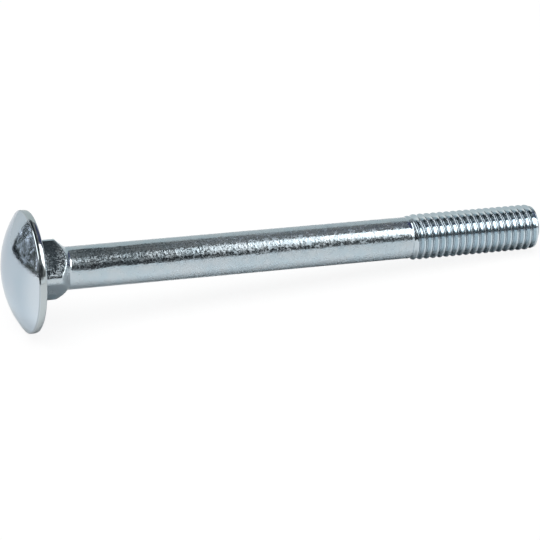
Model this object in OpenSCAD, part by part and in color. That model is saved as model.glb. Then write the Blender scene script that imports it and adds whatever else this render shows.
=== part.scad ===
// Carriage bolt, M8 x 90, forged and rolled in one piece from steel wire.
// It lies on a flat surface, on the rim of its head and the last full thread,
// with its thread towards +X. The origin is on the surface, under its middle.
// All lengths are in millimetres and all angles in degrees.

/* [Head] */
// Diameter of the domed head
head_d = 20.2; // [19.4:0.1:20.6]
// Height of the head, from the bearing face to the top of the dome
head_h = 4.7; // [4.2:0.1:4.9]
// Thickness of the rim, from the bearing face to the edge of the dome
rim_h = 1.25; // [1:0.05:1.8]
// Rounding between the rim and the bearing face
rim_r = 0.5; // [0.2:0.05:0.6]
// Rounding between the rim and the dome
dome_edge_r = 0.25; // [0.1:0.05:0.35]

/* [Square neck] */
// Width of the square, across its flats
neck_w = 8.1; // [7.5:0.1:8.5]
// Rounding of the square's four corners
neck_corner_r = 1.3; // [0.5:0.1:1.8]
// Length of the neck, with its taper
neck_h = 5.6; // [4.5:0.1:8]
// Angle of the taper to the bolt's axis
neck_taper = 41; // [35:1:50]
// Fillet where the taper runs into the shank
neck_fillet_r = 0.8; // [0.3:0.1:1.2]
// Turn of the square about the axis, as the bolt lies
neck_turn = 39.8; // [0:0.2:90]

/* [Shank] */
// Length from the bearing face to the tip
length = 90; // [60:5:150]
// Diameter of the plain shank, which is the blank that the thread is rolled on
shank_d = 7.1; // [6.9:0.05:7.3]

/* [Thread] */
// Outside diameter of the thread
thread_d = 7.84; // [7.76:0.02:7.96]
// Pitch of the thread
pitch = 1.25; // [1:0.25:1.5]
// Length of the thread, with its run-out
thread_len = 24.4; // [20:0.2:40]
// Length over which the thread grows out of the shank
runout_len = 1.9; // [1.2:0.1:3]
// Distance from the tip to the last full crest, on the side that the bolt lies on
last_crest = 1.52; // [1.4:0.02:2.4]
// Length of the chamfer at the tip
chamfer_len = 1.2; // [0.6:0.1:1.3]
// Diameter of the flat face at the tip
tip_d = 7.2; // [6.4:0.1:7.6]

/* [Hidden] */
$fn = 96;

// Radii, and places along the axis: 0 is the bearing face and plus is towards the tip
head_r = head_d / 2;
shank_r = shank_d / 2;
thread_r = thread_d / 2;
tip_r = tip_d / 2;
thread_start = length - thread_len;
chamfer_start = length - chamfer_len;

// The dome is a cap of a sphere that rises from the rim
dome_h = head_h - rim_h;
dome_r = (head_r ^ 2 + dome_h ^ 2) / (2 * dome_h);
dome_at = dome_r - head_h;
// Centre of the dome's edge rounding, and the point where it meets the dome
edge_x = head_r - dome_edge_r;
edge_at = dome_at - sqrt((dome_r - dome_edge_r) ^ 2 - edge_x ^ 2);
edge_scale = dome_r / (dome_r - dome_edge_r);
touch_x = edge_x * edge_scale;
touch_at = dome_at + (edge_at - dome_at) * edge_scale;

// The taper starts on the neck's corners and ends at the shank
neck_flat = neck_w - 2 * neck_corner_r;
neck_corner = neck_flat / sqrt(2) + neck_corner_r;
taper_start = neck_h - (neck_corner - shank_r) / tan(neck_taper);
fillet_reach = neck_fillet_r * tan(neck_taper / 2);

// Section of a metric thread: crest an eighth of the pitch wide, flanks at 30 degrees, round root
crest_w = pitch / 8;
flank_depth = 0.56 * pitch;
root_depth = 0.6134 * pitch;
flank_end = crest_w / 2 + flank_depth * tan(30);
section = [
    [-pitch / 2, thread_r - root_depth],
    [-flank_end, thread_r - flank_depth],
    [-crest_w / 2, thread_r],
    [crest_w / 2, thread_r],
    [flank_end, thread_r - flank_depth]
];

// Steps in one turn of the thread, and how deep its blank reaches into the shank
steps = 24;
blank_reach = 0.4;
blank_r = shank_r - 0.02;
// The helix starts at the first crest past the shank and runs on past the tip, which cuts it
helix_from = thread_start - blank_reach;
helix_room = length - last_crest - pitch / 2 - 0.1 - helix_from;
first_crest = length - last_crest - pitch * floor(helix_room / pitch);
past_tip = 0.2;
last_row = steps * ceil((length + past_tip - first_crest) / pitch + 0.5);
helix_to = first_crest + pitch * (last_row / steps + 0.5) + past_tip;

// Rest on the rim and the last full crest: both touch the same plane
foot_at = length - last_crest + crest_w / 2;
lean_run = foot_at + rim_r;
lean_drop = head_r - rim_r - thread_r;
lean = atan(lean_drop / lean_run) + asin(rim_r / norm([lean_run, lean_drop]));
axis_z = foot_at * sin(lean) + thread_r * cos(lean);
// Ends of the lying bolt: the dome's foremost point and the top of the tip's edge
back_x = dome_at * cos(lean) - dome_r;
front_x = length * cos(lean) + tip_r * sin(lean);
middle_x = (back_x + front_x) / 2;

// Half section of the head, with its rim rounded on both sides
module head_section() {
    intersection() {
        translate([0, dome_at]) circle(dome_r, $fn = 360);
        translate([0, -head_h]) square([touch_x, head_h - rim_r]);
    }
    polygon([[0, touch_at], [touch_x, touch_at], [edge_x, edge_at], [edge_x, -rim_r], [0, -rim_r]]);
    translate([edge_x, edge_at]) circle(dome_edge_r);
    translate([0, edge_at]) square([head_r, -rim_r - edge_at]);
    translate([0, -rim_r]) square([head_r - rim_r, rim_r]);
    translate([head_r - rim_r, -rim_r]) circle(rim_r);
}

module head() {
    rotate_extrude() head_section();
}

// Square with round corners
module neck_outline() {
    square([neck_w, neck_flat], center = true);
    square([neck_flat, neck_w], center = true);
    for (x = [-1, 1], y = [-1, 1])
        translate([x, y] * neck_flat / 2) circle(neck_corner_r);
}

// Cone that turns the square's corners off towards the shank
module taper() {
    rotate_extrude()
        polygon([
            [0, -rim_r], [neck_corner + 1, -rim_r], [neck_corner + 1, taper_start - 1 / tan(neck_taper)],
            [shank_r, neck_h], [0, neck_h]
        ]);
}

// Hollow fillet between the taper and the shank
module neck_fillet() {
    up = fillet_reach * [sin(neck_taper), -cos(neck_taper)];
    rotate_extrude() difference() {
        polygon([
            [0, neck_h + up[1]], [shank_r + up[0], neck_h + up[1]],
            [shank_r, neck_h + fillet_reach], [0, neck_h + fillet_reach]
        ]);
        translate([shank_r + neck_fillet_r, neck_h + fillet_reach]) circle(neck_fillet_r);
    }
}

module neck() {
    intersection() {
        rotate([0, 0, neck_turn]) translate([0, 0, -rim_r])
            linear_extrude(neck_h + rim_r) neck_outline();
        taper();
    }
    neck_fillet();
}

module shank() {
    translate([0, 0, -rim_r]) cylinder(r = shank_r, h = thread_start + rim_r);
}

// How far the thread has grown out of the shank at a place on the axis, from 0 to 1
function grown(at) =
    let (t = min(1, max(0, (at - thread_start) / runout_len)))
    t * t * (3 - 2 * t);

// Point of the helix: row counts its steps and j its points across one pitch
function helix_point(j, row) =
    let (at = first_crest + pitch * row / steps + section[j][0])
    let (r = blank_r + grown(at) * (section[j][1] - blank_r))
    let (turn = 360 * row / steps)
    [r * cos(turn), r * sin(turn), at];

function ring(r, at) = [
    for (k = [0 : steps - 1]) [r * cos(360 * k / steps), r * sin(360 * k / steps), at]
];

// Rolled thread: one strand wound round and round, closed by a ring at each end
module helix() {
    across = len(section);
    rows = last_row + steps;
    // Points: the strand's rows, then the lead-in ring, then the lead-out ring
    points = concat(
        [for (row = [0 : rows], j = [0 : across - 1]) helix_point(j, row)],
        ring(blank_r, helix_from),
        ring(section[0][1], helix_to)
    );
    lead_in = (rows + 1) * across;
    lead_out = lead_in + steps;
    // The strand's upper edge is the lower edge of its next turn
    function at(j, row) = j < across ? row * across + j : (row + steps) * across;
    function fan(hub, rim) = [for (k = [0 : len(rim) - 2]) [hub, rim[k], rim[k + 1]]];
    strand = [
        for (row = [0 : last_row - 1], j = [0 : across - 1])
            each [[at(j, row), at(j + 1, row), at(j + 1, row + 1)], [at(j, row), at(j + 1, row + 1), at(j, row + 1)]]
    ];
    lower_wedge = [
        for (k = [0 : steps - 2])
            each [[lead_in + k, at(0, k), at(0, k + 1)], [lead_in + k, at(0, k + 1), lead_in + k + 1]]
    ];
    lower_step = fan(at(0, steps - 1), [
        for (j = [across : -1 : 0]) at(j, 0), lead_in, lead_in + steps - 1
    ]);
    upper_wedge = [
        for (k = [1 : steps - 1])
            let (next = lead_out + (k + 1) % steps)
            each [
                [at(0, last_row + k), lead_out + k, next],
                [at(0, last_row + k), next, at(0, last_row + k + 1)]
            ]
    ];
    upper_step = fan(at(0, last_row + 1), [
        for (j = [0 : across]) at(j, last_row), lead_out, lead_out + 1
    ]);
    caps = [
        [for (k = [0 : steps - 1]) lead_in + k],
        [for (k = [steps - 1 : -1 : 0]) lead_out + k]
    ];
    polyhedron(points, concat(strand, lower_wedge, lower_step, upper_wedge, upper_step, caps));
}

// Chamfered blank that the strand is cut to
module tip_form() {
    clear_r = thread_r + 1;
    slope = (thread_r - tip_r) / chamfer_len;
    rotate_extrude()
        polygon([
            [0, helix_from - 1], [clear_r, helix_from - 1],
            [clear_r, chamfer_start - 1 / slope], [tip_r, length], [0, length]
        ]);
}

module thread() {
    intersection() {
        helix();
        tip_form();
    }
}

module bolt() {
    color([0.74, 0.78, 0.82])
        translate([-middle_x, 0, axis_z]) rotate([0, 90 + lean, 0]) {
            head();
            neck();
            shank();
            thread();
        }
}

bolt();
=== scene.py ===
from math import asin, atan, atan2, ceil, cos, hypot, pi, radians, sin, sqrt, tan

import bmesh
import bpy
from mathutils import Matrix, Vector


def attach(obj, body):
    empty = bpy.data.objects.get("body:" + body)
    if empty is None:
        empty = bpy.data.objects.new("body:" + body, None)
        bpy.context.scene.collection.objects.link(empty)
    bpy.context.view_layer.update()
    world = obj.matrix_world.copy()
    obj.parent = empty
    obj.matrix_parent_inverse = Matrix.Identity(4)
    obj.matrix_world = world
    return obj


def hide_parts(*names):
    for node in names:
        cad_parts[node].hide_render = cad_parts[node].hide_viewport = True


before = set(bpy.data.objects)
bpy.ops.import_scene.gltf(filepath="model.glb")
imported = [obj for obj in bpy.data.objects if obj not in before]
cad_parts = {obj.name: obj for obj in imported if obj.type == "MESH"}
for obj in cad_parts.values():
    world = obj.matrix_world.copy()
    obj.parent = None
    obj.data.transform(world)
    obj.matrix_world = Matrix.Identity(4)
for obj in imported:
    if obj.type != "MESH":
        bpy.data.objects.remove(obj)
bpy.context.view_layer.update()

# Rolled thread: two dies press a metric section into the blank, so the crest stands
# proud of the plain shank and the root lies below it. Right-hand, eighteen full
# turns, and it grows out of the shank over a turn and a half.
# Sizes are in millimetres. The bolt is made upright, with 0 at its bearing face.
LENGTH = 90.0
THREAD_LENGTH = 24.4
THREAD_START = LENGTH - THREAD_LENGTH
THREAD_R = 3.92
SHANK_R = 3.55
PITCH = 1.25
LAST_CREST = 1.52
RUNOUT = 1.9
AROUND = 128
PAST_TIP = 0.3

FLANK = radians(30)
CREST_HALF = 0.0625 * PITCH
CREST_ROUND = 0.1 * PITCH
ROOT_ROUND = 0.1443 * PITCH
ROOT_HALF = ROOT_ROUND * cos(FLANK)
ROOT_DEPTH = (PITCH / 2 - CREST_HALF - ROOT_HALF) / tan(FLANK) + ROOT_ROUND * sin(FLANK)


def half_section():
    """Offsets and depths from the middle of a root to the middle of a crest."""
    points = []
    for turned in (0, 20, 40, 60):
        turned = radians(turned)
        offset = -PITCH / 2 + ROOT_ROUND * sin(turned)
        points.append((offset, ROOT_DEPTH - ROOT_ROUND * (1 - cos(turned))))
    high = CREST_ROUND / 2
    low = ROOT_DEPTH - ROOT_ROUND / 2
    for depth in (low * 0.7 + high * 0.3, low * 0.3 + high * 0.7):
        points.append((-CREST_HALF - depth * tan(FLANK), depth))
    # The crest's edge is rounded where the flank meets the crest's flat
    centre = -CREST_HALF + CREST_ROUND * tan(FLANK)
    for turned in (60, 45, 30, 15, 0):
        turned = radians(turned)
        points.append((centre - CREST_ROUND * sin(turned), CREST_ROUND * (1 - cos(turned))))
    return points


rising = half_section()
falling = [(-offset, depth) for offset, depth in reversed(rising)]

crest_at = LENGTH - LAST_CREST
first_crest = crest_at - PITCH * ceil((crest_at - THREAD_START) / PITCH + 1)
turns = ceil((LENGTH + PAST_TIP - first_crest) / PITCH + 1)

bolt = bmesh.new()
section = [
    bolt.verts.new((THREAD_R - depth, 0, first_crest + offset))
    for offset, depth in rising + falling
]
strand = [bolt.edges.new(pair) for pair in zip(section, section[1:])]
bmesh.ops.spin(
    bolt, geom=section + strand, cent=(0, 0, 0), axis=(0, 0, 1), dvec=(0, 0, PITCH / AROUND),
    angle=2 * pi, steps=AROUND, use_merge=False, use_duplicate=False,
)
one_turn = bolt.verts[:] + bolt.edges[:] + bolt.faces[:]
for turn in range(1, turns):
    copied = bmesh.ops.duplicate(bolt, geom=one_turn)["geom"]
    points = [v for v in copied if isinstance(v, bmesh.types.BMVert)]
    bmesh.ops.translate(bolt, verts=points, vec=(0, 0, PITCH * turn))
bmesh.ops.remove_doubles(bolt, verts=bolt.verts[:], dist=0.001)

# The thread grows out of the plain shank
for v in bolt.verts:
    grown = min(1, max(0, (v.co.z - THREAD_START) / RUNOUT))
    grown = grown * grown * (3 - 2 * grown)
    radius = hypot(v.co.x, v.co.y)
    wanted = SHANK_R + grown * (radius - SHANK_R)
    v.co.x *= wanted / radius
    v.co.y *= wanted / radius

for plane_at, outward in ((THREAD_START - 0.1, -1), (LENGTH + PAST_TIP, 1)):
    bmesh.ops.bisect_plane(
        bolt, geom=bolt.verts[:] + bolt.edges[:] + bolt.faces[:], dist=1e-5,
        plane_co=(0, 0, plane_at), plane_no=(0, 0, outward), clear_outer=True,
    )
open_edges = [e for e in bolt.edges if e.is_boundary]
past_tip_edges = [e for e in open_edges if e.verts[0].co.z > LENGTH]
ring = [e for e in open_edges if e.verts[0].co.z < LENGTH]
bmesh.ops.contextual_create(bolt, geom=past_tip_edges)


# Plain shank: the drawn wire itself, a little thinner than the thread. Each ring
# of the blank is pulled out of the one before it, from the thread to the dome.
NECK_H = 5.6
NECK_TAPER = radians(41)
NECK_FILLET_R = 0.8
NECK_TURN = radians(39.8)
CORNER_CROWDING = 0.15


def pull_ring(ring, place):
    """Extrudes a ring of edges, and puts each new point where place(angle) says, by radius and height."""
    made = bmesh.ops.extrude_edge_only(bolt, edges=ring)["geom"]
    for v in made:
        if isinstance(v, bmesh.types.BMVert):
            angle, radius, height = place(atan2(v.co.y, v.co.x))
            v.co = (radius * cos(angle), radius * sin(angle), height)
    return [e for e in made if isinstance(e, bmesh.types.BMEdge)]


def round_ring(radius, height):
    return lambda angle: (angle, radius, height)


def towards_corners(angle):
    """Crowds the points of a ring towards the neck's four corners."""
    return angle + CORNER_CROWDING * sin(4 * (angle - NECK_TURN))


for height in (60, 54, 48, 42, 36, 30, 24, 18, 13):
    ring = pull_ring(ring, round_ring(SHANK_R, height))
ring = pull_ring(ring, lambda angle: (towards_corners(angle), SHANK_R, 9))

# Fillet: the shank flows into the taper with a hollow curve
fillet_reach = NECK_FILLET_R * tan(NECK_TAPER / 2)
for step in range(7):
    turned = NECK_TAPER * step / 6
    radius = SHANK_R + NECK_FILLET_R * (1 - cos(turned))
    ring = pull_ring(ring, round_ring(radius, NECK_H + fillet_reach - NECK_FILLET_R * sin(turned)))


# Square neck: forged in the die with the head. Its corners are round, a cone turns
# them off towards the shank, and a small hollow joins it to the underside.
NECK_W = 8.1
NECK_CORNER_R = 1.3
NECK_EDGE_R = 0.22
NECK_ROOT_R = 0.3


def square_r(angle):
    """Distance from the axis to the neck's side."""
    off = (angle - NECK_TURN + pi / 4) % (pi / 2) - pi / 4
    middle = NECK_W / 2 - NECK_CORNER_R
    if abs(tan(off)) * NECK_W / 2 <= middle:
        return NECK_W / 2 / cos(off)
    along = middle * (cos(off) + abs(sin(off)))
    return along + sqrt(along ** 2 - 2 * middle ** 2 + NECK_CORNER_R ** 2)


def cone_height(radius):
    return NECK_H - (radius - SHANK_R) / tan(NECK_TAPER)


fillet_end_r = SHANK_R + NECK_FILLET_R * (1 - cos(NECK_TAPER))
edge_reach = NECK_EDGE_R * tan(NECK_TAPER / 2)


def on_taper(share):
    def place(angle):
        taper_end_r = square_r(angle) - edge_reach * sin(NECK_TAPER)
        radius = fillet_end_r + (taper_end_r - fillet_end_r) * share
        return angle, radius, cone_height(radius)
    return place


def on_edge(turned):
    """Round edge between the taper and the square's side."""
    def place(angle):
        side = square_r(angle)
        height = cone_height(side) - edge_reach
        return angle, side - NECK_EDGE_R * (1 - cos(turned)), height + NECK_EDGE_R * sin(turned)
    return place


def on_side(share):
    def place(angle):
        side = square_r(angle)
        return angle, side, NECK_ROOT_R + (cone_height(side) - edge_reach - NECK_ROOT_R) * share
    return place


def on_root(turned):
    return lambda angle: (
        angle, square_r(angle) + NECK_ROOT_R * (1 - cos(turned)), NECK_ROOT_R * (1 - sin(turned)))


for share in (0.35, 0.7):
    ring = pull_ring(ring, on_taper(share))
for step in (4, 3, 2, 1, 0):
    ring = pull_ring(ring, on_edge(NECK_TAPER * step / 4))
for share in (0.9, 0.6, 0.3, 0):
    ring = pull_ring(ring, on_side(share))
for step in (1, 2, 3, 4):
    ring = pull_ring(ring, on_root(pi / 2 * step / 4))


# Head: a shallow dome upset in the die. Its rim bulges a little between the rounded
# edge of the dome and the edge of the bearing face. No mark is on it.
HEAD_R = 10.1
DOME_R = 16.5099
DOME_AT = 11.8099
DOME_EDGE_R = 0.35
RIM_BULGE_R = 2.4
TILT_TO_DOME = radians(6)
TILT_TO_FACE = radians(14)
DOME_RINGS = 36
POLE_R = 0.05

# Each curve of the rim meets the next one without a corner
bulge_x = HEAD_R - RIM_BULGE_R
edge_x = bulge_x + (RIM_BULGE_R - DOME_EDGE_R) * cos(TILT_TO_DOME)
edge_at = DOME_AT - sqrt((DOME_R - DOME_EDGE_R) ** 2 - edge_x ** 2)
bulge_at = edge_at + (RIM_BULGE_R - DOME_EDGE_R) * sin(TILT_TO_DOME)
face_edge_r = -(bulge_at + RIM_BULGE_R * sin(TILT_TO_FACE)) / (1 - sin(TILT_TO_FACE))
face_r = bulge_x + (RIM_BULGE_R - face_edge_r) * cos(TILT_TO_FACE)
edge_turn = pi / 2 - asin(edge_x / (DOME_R - DOME_EDGE_R))


def along_bearing_face(share):
    def place(angle):
        inner = square_r(angle) + NECK_ROOT_R
        return angle, inner + (face_r - inner) * share, 0
    return place


def pull_round(ring, centre, radius, tilts):
    """Rings along an arc of the section, at each tilt of its surface towards the bearing face."""
    for tilt in tilts:
        out = centre[0] + radius * cos(tilt)
        ring = pull_ring(ring, round_ring(out, centre[1] + radius * sin(tilt)))
    return ring


def spread(first, last, steps):
    return [first + (last - first) * step / steps for step in range(steps + 1)]


for share in (0.06, 0.35, 0.7, 0.96):
    ring = pull_ring(ring, along_bearing_face(share))
ring = pull_round(ring, (face_r, -face_edge_r), face_edge_r, spread(pi / 2, TILT_TO_FACE, 7))
ring = pull_round(ring, (bulge_x, bulge_at), RIM_BULGE_R, spread(TILT_TO_FACE, -TILT_TO_DOME, 8)[1:])
ring = pull_round(ring, (edge_x, edge_at), DOME_EDGE_R, spread(-TILT_TO_DOME, -edge_turn, 7)[1:])
dome_turn = pi / 2 - edge_turn
for step in range(1, DOME_RINGS):
    turned = dome_turn * (1 - step / DOME_RINGS)
    ring = pull_ring(ring, round_ring(DOME_R * sin(turned), DOME_AT - DOME_R * cos(turned)))
ring = pull_ring(ring, round_ring(POLE_R, DOME_AT - DOME_R))
pole = list({v for e in ring for v in e.verts})
bmesh.ops.pointmerge(bolt, verts=pole, merge_co=(0, 0, DOME_AT - DOME_R))
bmesh.ops.recalc_face_normals(bolt, faces=bolt.faces[:])


# Tip: the end of the wire is chamfered, so the last crests fade out on a short cone.
# The blank is cut to a turned form that leaves all the rest of it alone.
TIP_R = 3.6
CHAMFER = 1.2
CLEAR_R = 12.0
PAST_HEAD = -8


def as_object(shape, name):
    mesh = bpy.data.meshes.new(name)
    shape.to_mesh(mesh)
    shape.free()
    made = bpy.data.objects.new(name, mesh)
    bpy.context.scene.collection.objects.link(made)
    return made


blank = as_object(bolt, "bolt_blank")
turned_form = bmesh.new()
slope = (THREAD_R - TIP_R) / CHAMFER
outline = [
    (0, PAST_HEAD), (CLEAR_R, PAST_HEAD), (CLEAR_R, LENGTH - (CLEAR_R - TIP_R) / slope),
    (TIP_R, LENGTH), (0, LENGTH),
]
corners = [turned_form.verts.new((radius, 0, height)) for radius, height in outline]
sides = [turned_form.edges.new(pair) for pair in zip(corners, corners[1:])]
bmesh.ops.spin(
    turned_form, geom=corners + sides, cent=(0, 0, 0), axis=(0, 0, 1), dvec=(0, 0, 0),
    angle=2 * pi, steps=256, use_merge=True, use_duplicate=False,
)
bmesh.ops.remove_doubles(turned_form, verts=turned_form.verts[:], dist=0.0001)
bmesh.ops.recalc_face_normals(turned_form, faces=turned_form.faces[:])
form = as_object(turned_form, "tip_form")

chamfer = blank.modifiers.new("chamfer", "BOOLEAN")
chamfer.operation = "INTERSECT"
chamfer.solver = "EXACT"
chamfer.object = form
bpy.context.view_layer.update()
cut = bpy.data.meshes.new_from_object(blank.evaluated_get(bpy.context.evaluated_depsgraph_get()))
bpy.data.objects.remove(form)
bpy.data.objects.remove(blank)


# How the bolt lies: on the rim of its head and its last full thread, so its axis
# falls towards the tip. It is laid down and moved to where the frame has it, and
# its sizes become metres.
MM = 0.001
RIM_R = 0.5
SHARP = radians(38)

foot_at = LENGTH - LAST_CREST + CREST_HALF
lean_run = foot_at + RIM_R
lean_drop = HEAD_R - RIM_R - THREAD_R
lean = atan(lean_drop / lean_run) + asin(RIM_R / hypot(lean_run, lean_drop))
axis_z = foot_at * sin(lean) + THREAD_R * cos(lean)
middle_x = (DOME_AT * cos(lean) - DOME_R + LENGTH * cos(lean) + TIP_R * sin(lean)) / 2
laid_down = (
    Matrix.Scale(MM, 4)
    @ Matrix.Translation((-middle_x, 0, axis_z))
    @ Matrix.Rotation(radians(90) + lean, 4, "Y")
)

cut.name = "carriage_bolt"
cut.transform(laid_down)
carriage_bolt = bpy.data.objects.new("carriage_bolt", cut)
bpy.context.scene.collection.objects.link(carriage_bolt)
for face in cut.polygons:
    face.use_smooth = True
cut.set_sharp_from_angle(angle=SHARP)

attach(carriage_bolt, "root")
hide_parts("bolt")


# Zinc plating: a bright electroplated coat with a faint blue passivation. It grows
# in fine grains over the forged steel, which shows as mottling where it mirrors
# something dark, and it is a little uneven in tint. The dome's tint also holds
# painted light and shade, and the thread's roots hold painted shade.
BRIGHT = 0.085
# The dome's pale, far and foot colours are painted light and shade over the plating's blue tint
DOME_PALE_PAINTED_LIGHT = (0.69, 0.765, 0.83, 1)
DOME_BLUE = (0.47, 0.57, 0.655, 1)
DOME_FAR_PAINTED_SHADE = (0.335, 0.43, 0.53, 1)
DOME_FOOT_PAINTED_LIGHT = (0.69, 0.81, 0.89, 1)
RIM_TINT = (0.53, 0.585, 0.6, 1)
RIM_EDGE_DARK = (0.45, 0.51, 0.55, 1)
COAT_BLUE = (0.5, 0.597, 0.652, 1)
COAT_GREY = (0.55, 0.62, 0.66, 1)
COAT_VIOLET = (0.6, 0.61, 0.66, 1)
THREAD_TINT = (0.64, 0.735, 0.79, 1)
ROOT_PAINTED_SHADE = (0.3, 0.36, 0.41, 1)

# Grain of the coat: how many spots lie in a metre, and how deep the bumps are
TINT_SPOTS = 130
CLOUD_SPOTS = 420
WAVE_SPOTS = 500
DULL_SPOTS = 1250
WRINKLE_SPOTS = 1300
GRAIN_SPOTS = 2200
PIT_SPOTS = 3400
WRINKLE_DEPTH = MM * 0.013
WAVE_DEPTH = MM * 0.02
GRAIN_DEPTH = MM * 0.025


def add(tree, kind, **inputs):
    """Adds a node and sets its sockets: a node's output is linked, and anything else is a value."""
    node = tree.nodes.new(kind)
    for name, value in inputs.items():
        socket = node.inputs[int(name[1:])] if name[0] == "_" else node.inputs[name.replace("_", " ")]
        if isinstance(value, bpy.types.NodeSocket):
            tree.links.new(value, socket)
        else:
            socket.default_value = value
    return node


def calculate(tree, operation, *values):
    node = add(tree, "ShaderNodeMath", **{f"_{i}": value for i, value in enumerate(values)})
    node.operation = operation
    return node.outputs[0]


def times(tree, first, *others):
    for other in others:
        first = calculate(tree, "MULTIPLY", first, other)
    return first


def ramp(tree, value, low, high, to_low=0.0, to_high=1.0):
    """Goes smoothly from to_low at low to to_high at high."""
    node = add(
        tree, "ShaderNodeMapRange",
        Value=value, From_Min=low, From_Max=high, To_Min=to_low, To_Max=to_high)
    node.interpolation_type = "SMOOTHSTEP"
    return node.outputs[0]


def window(tree, value, low, low_soft, high, high_soft):
    """1 between low and high, with a soft edge at each end, and 0 outside them."""
    opens = ramp(tree, value, low - low_soft, low + low_soft)
    closes = ramp(tree, value, high - high_soft, high + high_soft, 1.0, 0.0)
    return times(tree, opens, closes)


def blend_colours(tree, share, first, second):
    node = tree.nodes.new("ShaderNodeMix")
    node.data_type = "RGBA"
    for socket, value in ((0, share), (6, first), (7, second)):
        if isinstance(value, bpy.types.NodeSocket):
            tree.links.new(value, node.inputs[socket])
        else:
            node.inputs[socket].default_value = value
    return node.outputs[2]


def noise(tree, where, spots, detail, roughness):
    return add(
        tree, "ShaderNodeTexNoise",
        Vector=where, Scale=spots, Detail=detail, Roughness=roughness).outputs[0]


def bump(tree, depth, height, **below):
    return add(tree, "ShaderNodeBump", Strength=1.0, Distance=depth, Height=height, **below).outputs[0]


zinc = bpy.data.materials.new("zinc_plating")
zinc.use_nodes = True
tree = zinc.node_tree
tree.nodes.clear()
place = add(tree, "ShaderNodeTexCoord").outputs["Object"]
place_parts = add(tree, "ShaderNodeSeparateXYZ", Vector=place).outputs
near = place_parts["Y"]
up = place_parts["Z"]

# How far a point is from the bearing face, along the axis, and how far off the axis
bearing_point = laid_down @ Vector((0, 0, 0))
axis = (laid_down @ Vector((0, 0, 1)) - bearing_point).normalized()
from_bearing = add(tree, "ShaderNodeVectorMath", _0=place, _1=bearing_point)
from_bearing.operation = "SUBTRACT"
from_bearing = from_bearing.outputs[0]
along = add(tree, "ShaderNodeVectorMath", _0=from_bearing, _1=axis)
along.operation = "DOT_PRODUCT"
along = along.outputs["Value"]
distance = add(tree, "ShaderNodeVectorMath", _0=from_bearing)
distance.operation = "LENGTH"
distance = distance.outputs["Value"]
off_axis = calculate(tree, "SQRT", calculate(
    tree, "SUBTRACT", times(tree, distance, distance), times(tree, along, along)))

# The thread's roots get painted shade, and they are also rougher than its crests
on_thread = ramp(tree, along, MM * (THREAD_START + 0.5), MM * (THREAD_START + 2))
in_root = times(tree, on_thread, ramp(tree, off_axis, MM * 3.22, MM * 3.36, 1.0, 0.0))

# Tint, partly the plating's blue and partly painted light and shade: the dome is painted palest on its
# near side and its foot, and a deeper blue on its far side
clouds = noise(tree, place, CLOUD_SPOTS, 3.0, 0.55)
tint_clouds = noise(tree, place, TINT_SPOTS, 2.0, 0.5)
colour = blend_colours(tree, ramp(tree, clouds, 0.35, 0.65), COAT_BLUE, COAT_GREY)
dome_tint_and_painted_light = blend_colours(tree, ramp(tree, near, MM * -9.8, MM * -5.5), DOME_PALE_PAINTED_LIGHT, DOME_BLUE)
far_painted_shade = times(
    tree,
    ramp(tree, near, MM * -4, MM * 3),
    ramp(tree, up, MM * 3, MM * 8),
    ramp(tree, up, MM * 12, MM * 18, 1.0, 0.65))
dome_tint_and_painted_light = blend_colours(tree, far_painted_shade, dome_tint_and_painted_light, DOME_FAR_PAINTED_SHADE)
dome_tint_and_painted_light = blend_colours(tree, ramp(tree, up, MM * 0.5, MM * 4, 1.0, 0.0), dome_tint_and_painted_light, DOME_FOOT_PAINTED_LIGHT)
colour = blend_colours(tree, ramp(tree, along, -MM, MM, 0.8, 0.0), colour, dome_tint_and_painted_light)
threaded = ramp(tree, along, MM * THREAD_START, MM * (THREAD_START + 2), 0.0, 0.8)
colour = blend_colours(tree, threaded, colour, THREAD_TINT)
colour = blend_colours(tree, ramp(tree, tint_clouds, 0.5, 0.7, 0.0, 0.14), colour, COAT_VIOLET)
# Painted shade in the thread's roots
colour = blend_colours(tree, times(tree, in_root, 0.7), colour, ROOT_PAINTED_SHADE)
# The rim is a little warmer than the dome, and its edge is darker
on_rim = window(tree, along, MM * -1.18, MM * 0.06, MM * -0.1, MM * 0.1)
colour = blend_colours(tree, on_rim, colour, RIM_TINT)
on_rim_edge = window(tree, along, MM * -1.38, MM * 0.05, MM * -1.22, MM * 0.05)
colour = blend_colours(tree, on_rim_edge, colour, RIM_EDGE_DARK)

# The dies burnish the thread. The head and, in patches, the neck are pressed smooth,
# and the middle of the drawn shank keeps the coarsest grain.
coarse = times(
    tree,
    ramp(tree, along, MM * -0.5, MM * 0.5, 0.3, 0.8),
    ramp(tree, along, MM * 16, MM * 33, 0.7, 1.1),
    ramp(tree, along, MM * 33, MM * 56, 1.0, 0.66))
on_neck = window(tree, along, 0.0, MM * 0.5, MM * NECK_H, MM)
in_patches = ramp(tree, clouds, 0.36, 0.54, 0.26, -0.24)
smoother = times(tree, on_neck, ramp(tree, up, MM * 12.6, MM * 14.8, in_patches, 0.42))
burnished = ramp(tree, along, MM * (THREAD_START - 1), MM * (THREAD_START + 1.5), 1.0, 0.03)
coarse = times(tree, calculate(tree, "SUBTRACT", coarse, smoother), burnished)

# Bumps: drawn-out wrinkles on the head, and waves and grain on the rest
on_head = ramp(tree, along, MM * -0.6, 0.0, 1.0, 0.0)
drawn_out = add(tree, "ShaderNodeMapping", Vector=place, Scale=(1.0, 1.0, 0.45)).outputs[0]
wrinkles = noise(tree, drawn_out, WRINKLE_SPOTS, 3.0, 0.6)
waves = noise(tree, place, WAVE_SPOTS, 2.0, 0.5)
grain = noise(tree, place, GRAIN_SPOTS, 1.0, 0.5)
wrinkled = bump(tree, WRINKLE_DEPTH, times(tree, wrinkles, on_head))
wavy = bump(tree, WAVE_DEPTH, times(tree, waves, coarse), Normal=wrinkled)
grainy = bump(tree, GRAIN_DEPTH, times(tree, grain, coarse), Normal=wavy)

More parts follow.
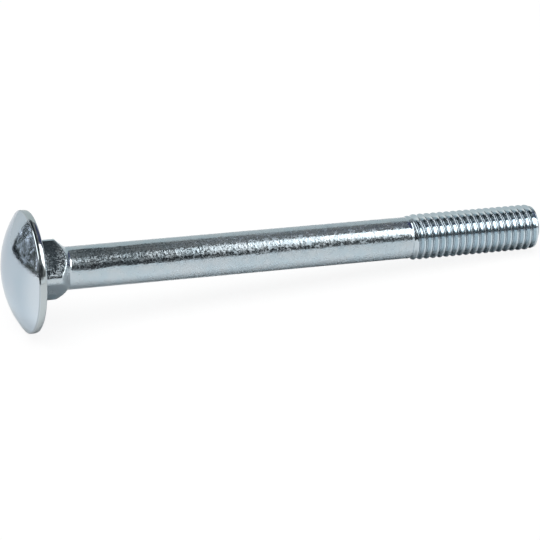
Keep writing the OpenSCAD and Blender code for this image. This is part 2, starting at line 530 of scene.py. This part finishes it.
# Gloss: it is less in the pits, in dull spots on the shank and in the thread's roots
pits = noise(tree, place, PIT_SPOTS, 2.0, 0.6)
pitted = times(tree, coarse, ramp(tree, pits, 0.4, 0.62, 0.0, 0.26))
dull = noise(tree, place, DULL_SPOTS, 2.0, 0.6)
dull = times(
    tree,
    ramp(tree, dull, 0.48, 0.64, 0.0, 0.22),
    ramp(tree, along, MM * 18, MM * 42, 0.25, 1.0),
    window(tree, along, MM * (NECK_H + 0.5), MM * 0.4, MM * THREAD_START, MM * 0.4))
rough = BRIGHT
for rougher in (pitted, dull, times(tree, in_root, 0.15)):
    rough = calculate(tree, "ADD", rough, rougher)

plating = add(
    tree, "ShaderNodeBsdfPrincipled", Base_Color=colour, Metallic=1.0, Roughness=rough, Normal=grainy)
add(tree, "ShaderNodeOutputMaterial", Surface=plating.outputs[0])
cut.materials.clear()
cut.materials.append(zinc)


# Table: white paper that the bolt lies on. It ends behind the bolt where a card
# stands, and the camera sees it run on. It keeps the bolt's shadow, which the metal
# sees in full and the camera only faintly.
TABLE_HALF = 1.5
TABLE_LEFT = -0.4
TABLE_END = 0.115
PAPER = (0.88, 0.88, 0.88, 1)
SEEN_PAPER = (0.12, 0.12, 0.12, 1)
SEEN_GLOW = 0.9
WHITE = (1, 1, 1, 1)

white = bpy.data.materials.new("white_table")
white.use_nodes = True
tree = white.node_tree
tree.nodes.clear()
camera_ray = add(tree, "ShaderNodeLightPath").outputs["Is Camera Ray"]
paper = add(tree, "ShaderNodeBsdfDiffuse", Color=PAPER).outputs[0]
shadowed = add(tree, "ShaderNodeBsdfDiffuse", Color=SEEN_PAPER).outputs[0]
glow = add(tree, "ShaderNodeEmission", Color=WHITE, Strength=SEEN_GLOW).outputs[0]
seen = add(tree, "ShaderNodeAddShader", _0=shadowed, _1=glow).outputs[0]
either = add(tree, "ShaderNodeMixShader", _0=camera_ray, _1=paper, _2=seen).outputs[0]
add(tree, "ShaderNodeOutputMaterial", Surface=either)


def sheet(name, low, high, material):
    """A flat rectangle between two corners."""
    shape = bmesh.new()
    bmesh.ops.create_grid(shape, x_segments=1, y_segments=1, size=0.5)
    flat = [high[i] - low[i] for i in range(3)]
    for v in shape.verts:
        right = v.co.x + 0.5
        back = v.co.y + 0.5
        shares = (right, 0, back) if flat[1] == 0 else (right, back, 0)
        v.co = [low[i] + flat[i] * shares[i] for i in range(3)]
    made = as_object(shape, name)
    made.data.materials.append(material)
    return made


sheet("table", (TABLE_LEFT, -TABLE_HALF, 0), (TABLE_HALF, TABLE_END, 0), white)
for name, low, high in (
    ("table_beyond", (-TABLE_HALF, TABLE_END), (TABLE_HALF, TABLE_HALF)),
    ("table_left", (-TABLE_HALF, -TABLE_HALF), (TABLE_LEFT, TABLE_END)),
):
    beyond = sheet(name, (*low, 0), (*high, 0), white)
    beyond.visible_glossy = False
    beyond.visible_diffuse = False


# Card: a glowing pale board that stands on the table's far end. Only the metal sees it. It
# glows warm and brightest on the left, and fades on the right.
CARD_LEFT = -0.132
CARD_RIGHT = 0.6
CARD_TOP = 0.134
CARD_WARM = (1, 0.98, 0.95, 1)
CARD_COOL = (0.92, 0.99, 1, 1)

pale_card = bpy.data.materials.new("pale_card")
pale_card.use_nodes = True
tree = pale_card.node_tree
tree.nodes.clear()
where = add(tree, "ShaderNodeTexCoord").outputs["Object"]
where = add(tree, "ShaderNodeSeparateXYZ", Vector=where).outputs["X"]
card_glow = times(
    tree, ramp(tree, where, -0.1, -0.03, 0.9, 0.66), ramp(tree, where, 0.1, 0.18, 1.0, 0.4))
card_colour = blend_colours(tree, ramp(tree, where, -0.1, -0.03), CARD_WARM, CARD_COOL)
shine = add(tree, "ShaderNodeEmission", Color=card_colour, Strength=card_glow).outputs[0]
add(tree, "ShaderNodeOutputMaterial", Surface=shine)
card = sheet("card", (CARD_LEFT, TABLE_END, 0), (CARD_RIGHT, TABLE_END, CARD_TOP), pale_card)
card.visible_camera = False
card.visible_shadow = False
card.visible_diffuse = False


# Studio: an uneven dark room that only the metal sees, with two large soft lights,
# one over the thread on the near side and one over the head. The camera sees plain
# white, and a lamp overhead lights the table.
ROOM_PATCHES = 6
ROOM_SPOTS = 29
ROOM_DARK = (0.02, 0.023, 0.026, 1)
ROOM_GREY = (0.34, 0.35, 0.35, 1)
ROOM_LEFT = (0.05, 0.056, 0.045, 1)
ROOM_LOW = (0.01, 0.012, 0.015, 1)
ROOM_OVER_NECK = (0.02, 0.025, 0.03, 1)
ROOM_VIOLET = (0.07, 0.075, 0.17, 1)
CEILING = (0.36, 0.35, 0.33, 1)
GLINTS = (2.0, 2.02, 2.2, 1)
NEAR_BOARD = (0.88, 0.9, 0.92, 1)
SOFT_LIGHT = (4.6, 4.6, 4.6, 1)
FAINT_END = (2.7, 2.7, 2.7, 1)
HEAD_LIGHT = (3, 3, 3, 1)
LAMP_WIDE = 2.0
LAMP_AT = (-0.35, -0.1, 1.35)
LAMP_POWER = 30

studio = bpy.data.worlds.new("studio")
studio.use_nodes = True
tree = studio.node_tree
tree.nodes.clear()
looking = add(tree, "ShaderNodeTexCoord").outputs["Generated"]
apart = add(tree, "ShaderNodeSeparateXYZ", Vector=looking).outputs
# How far a direction points to the thread's end of the room, from -1 to 1
to_right = apart["X"]
# How far it has turned up from the near side's horizon, over the bolt, to the far side's
rise = calculate(tree, "ARCTAN2", apart["Z"], times(tree, apart["Y"], -1.0))

# The room itself: uneven grey on the right, and dark with bright glints on the left
uneven = noise(tree, looking, ROOM_PATCHES, 4.0, 0.6)
upright = add(tree, "ShaderNodeMapping", Vector=looking, Scale=(1.0, 1.0, 0.5)).outputs[0]
mottle = noise(tree, upright, ROOM_SPOTS, 3.0, 0.6)
sky = blend_colours(tree, ramp(tree, uneven, 0.4, 0.64), ROOM_DARK, ROOM_GREY)
sky = blend_colours(tree, ramp(tree, to_right, 0.1, 0.3, 0.8, 0.0), sky, ROOM_LEFT)
glinting = times(tree, ramp(tree, mottle, 0.58, 0.605), ramp(tree, to_right, 0.1, 0.3, 1.0, 0.0))
sky = blend_colours(tree, glinting, sky, GLINTS)

# It is darkest low on the near side and in what the neck mirrors
low_dark = times(
    tree,
    ramp(tree, rise, radians(26), radians(50), 1.0, 0.0),
    ramp(tree, to_right, 0.36, 0.41, 0.85, 0.0))
sky = blend_colours(tree, low_dark, sky, ROOM_LOW)
over_neck = times(
    tree,
    ramp(tree, rise, radians(54), radians(64), 0.0, 0.94),
    window(tree, to_right, 0.1, 0.1, 0.335, 0.018))
sky = blend_colours(tree, over_neck, sky, ROOM_OVER_NECK)

# A mottled grey ceiling over the shank, and a violet cast over the thread
over_shank = times(
    tree,
    ramp(tree, rise, radians(74), radians(82), 0.0, 0.75),
    window(tree, to_right, 0.345, 0.03, 0.455, 0.02),
    ramp(tree, mottle, 0.4, 0.6, 0.2, 1.0))
sky = blend_colours(tree, over_shank, sky, CEILING)
over_thread = times(
    tree,
    ramp(tree, rise, radians(76), radians(88)),
    ramp(tree, to_right, 0.44, 0.52, 0.0, 0.8))
sky = blend_colours(tree, over_thread, sky, ROOM_VIOLET)

# A low white board on the near side, up to 8 degrees above the table
near_board = times(
    tree,
    ramp(tree, rise, radians(7), radians(10), 1.0, 0.0),
    ramp(tree, to_right, -0.1, 0.1),
    ramp(tree, apart["Z"], -0.05, -0.03))
sky = blend_colours(tree, near_board, sky, NEAR_BOARD)

# The soft light over the thread: its lower edge slants, and its left end is fainter
slanted = times(tree, calculate(tree, "SUBTRACT", to_right, 0.4), 0.9)
slanted = calculate(tree, "ADD", rise, slanted)
slanted = calculate(tree, "SUBTRACT", slanted, ramp(tree, to_right, 0.39, 0.44, 0.2, 0.0))
in_light = times(
    tree,
    ramp(tree, slanted, radians(36), radians(53)),
    ramp(tree, rise, radians(73), radians(79), 1.0, 0.0),
    window(tree, to_right, 0.401, 0.014, 0.85, 0.05))
soft_light = blend_colours(tree, ramp(tree, to_right, 0.45, 0.53), FAINT_END, SOFT_LIGHT)
sky = blend_colours(tree, in_light, sky, soft_light)
over_head = times(
    tree,
    window(tree, rise, radians(48), 0.06, radians(106), 0.05),
    window(tree, to_right, -0.42, 0.06, 0.0, 0.05))
sky = blend_colours(tree, over_head, sky, HEAD_LIGHT)

camera_ray = add(tree, "ShaderNodeLightPath").outputs["Is Camera Ray"]
sky = blend_colours(tree, camera_ray, sky, WHITE)
shine = add(tree, "ShaderNodeBackground", Color=sky, Strength=1.0).outputs[0]
add(tree, "ShaderNodeOutputWorld", Surface=shine)
bpy.context.scene.world = studio
studio.cycles_visibility.diffuse = False

lamp_data = bpy.data.lights.new("overhead", "AREA")
lamp_data.shape = "DISK"
lamp_data.size = LAMP_WIDE
lamp_data.energy = LAMP_POWER
lamp = bpy.data.objects.new("overhead", lamp_data)
lamp.location = LAMP_AT
lamp.rotation_euler = (-Vector(LAMP_AT)).to_track_quat("-Z", "Y").to_euler()
bpy.context.scene.collection.objects.link(lamp)
lamp.visible_camera = False
lamp.visible_glossy = False


# Camera: the photograph's, level and a little left of square to the bolt, with a
# long lens.
CAMERA_AT = Vector((-0.1241505, -0.336841, 0.1779513))
LOOK_RIGHT = Vector((0.9396178, -0.3422257, -0.0001261))
LOOK_UP = Vector((0.1499120, 0.4112684, 0.8991021))
FOCAL_PIXELS = 2361
FRAME_PIXELS = 540

lens = bpy.data.cameras.new("camera")
lens.sensor_width = 36
lens.lens = FOCAL_PIXELS / FRAME_PIXELS * lens.sensor_width
lens.clip_start, lens.clip_end = 0.01, 20
camera = bpy.data.objects.new("camera", lens)
bpy.context.scene.collection.objects.link(camera)
turned = Matrix((LOOK_RIGHT, LOOK_UP, LOOK_RIGHT.cross(LOOK_UP))).transposed()
camera.matrix_world = Matrix.Translation(CAMERA_AT) @ turned.to_4x4()
bpy.context.scene.camera = camera
bpy.context.scene.view_settings.view_transform = "Standard"
